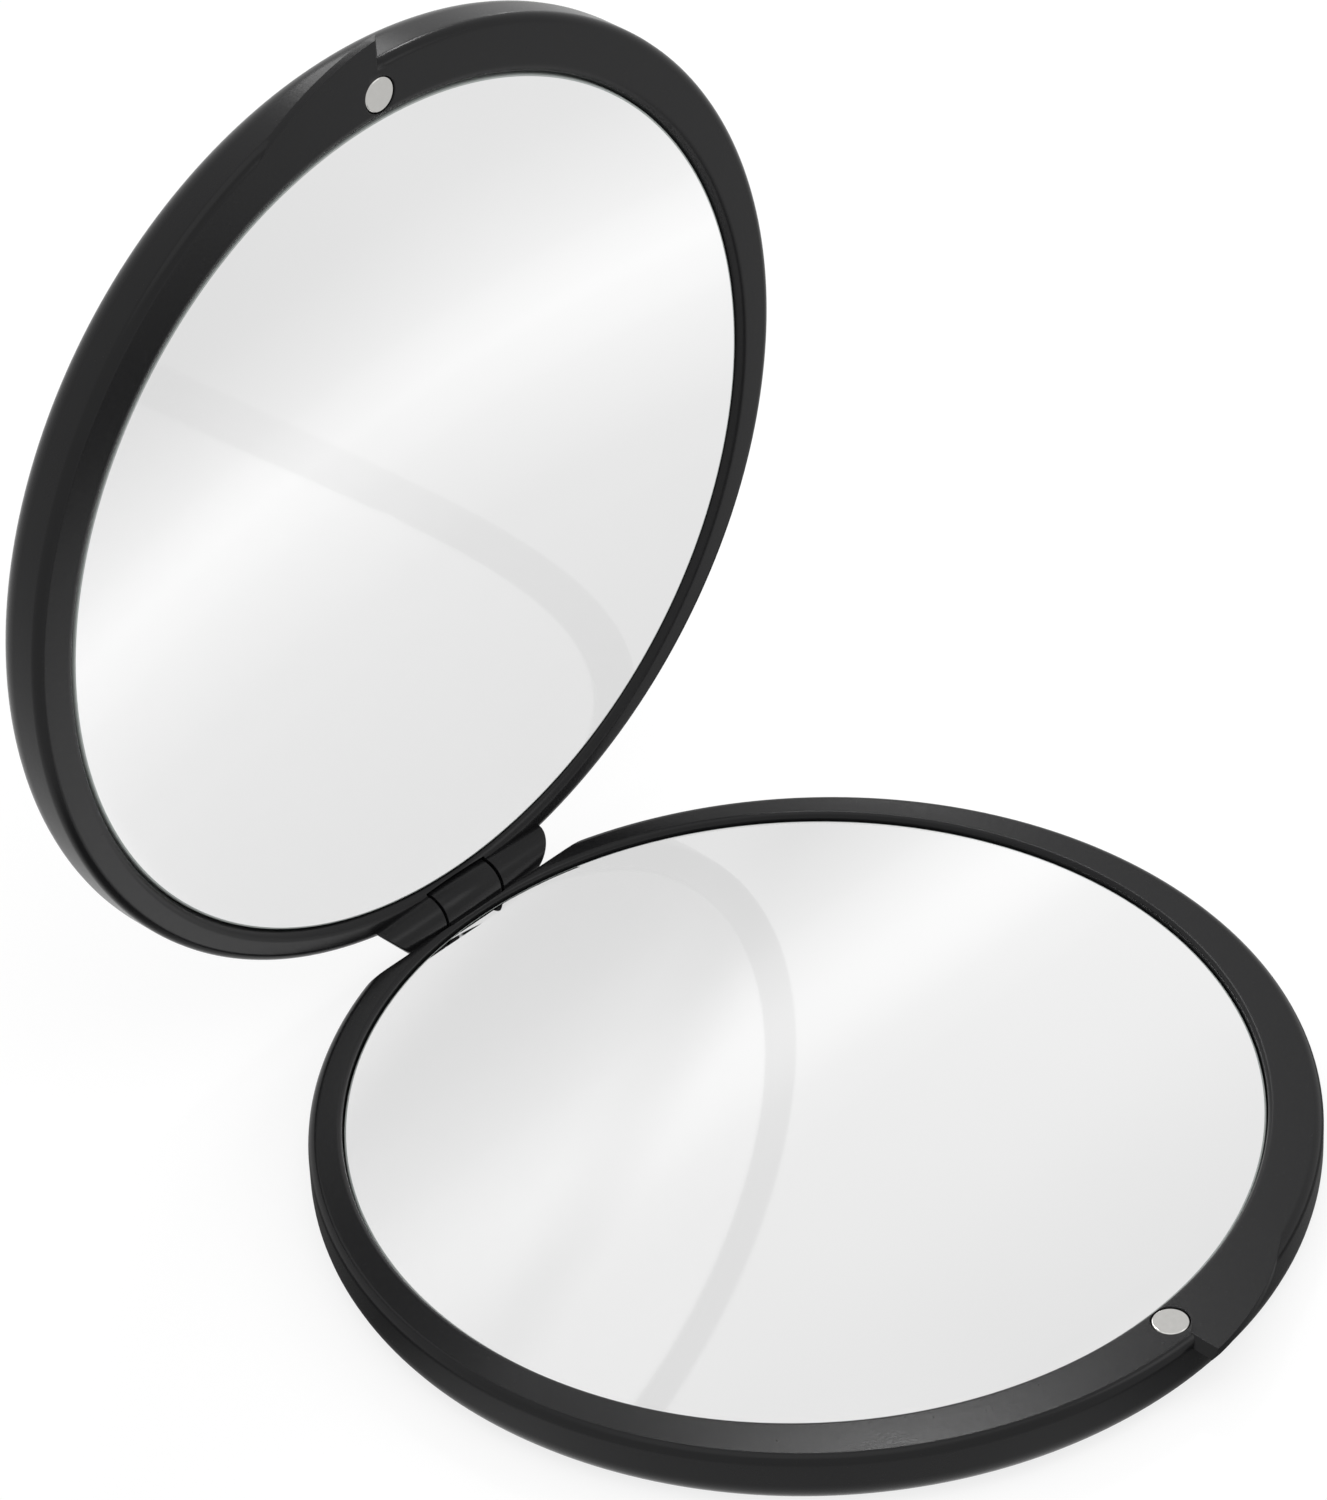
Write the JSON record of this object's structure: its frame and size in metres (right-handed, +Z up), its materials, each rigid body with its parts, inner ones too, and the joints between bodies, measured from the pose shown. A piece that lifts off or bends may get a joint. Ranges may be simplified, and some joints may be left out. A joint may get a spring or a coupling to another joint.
{
  "type": "compact mirror",
  "caption": "Round pocket mirror that opens on a rear hinge, with a flat glass in the base, a concave magnifying glass in the lid, magnets set in the rims and a thumb lip on each half.",
  "frame": {"origin": "centre of the base's flat underside", "axes": "+Z up from the table, +Y towards the hinge, +X along the hinge, to the right for the person who looks into the mirror"},
  "size_m": [0.07, 0.0783, 0.0765],
  "materials": {
    "soft_black_plastic": "soft matte black",
    "mirror_glass": "silvered glass",
    "foam_tape": "matte foam tape",
    "nickel_plate": "bright nickel plating",
    "pin_steel": "drawn steel"
  },
  "bodies": {
    "base": {"base_shell": "soft_black_plastic", "base_mirror": "mirror_glass", "base_mirror_tape": "foam_tape", "base_magnet": "nickel_plate"},
    "lid": {"lid_shell": "soft_black_plastic", "lid_mirror": "mirror_glass", "lid_mirror_tape": "foam_tape", "lid_magnet": "nickel_plate", "hinge_pin": "pin_steel"}
  },
  "joints": [
    {"name": "lid_hinge", "type": "hinge", "parent": "base", "child": "lid", "pos_m": [0, 0.0351, 0.00455], "axis": [-1, 0, 0], "range_deg": [-91.5, 88.5]}
  ]
}
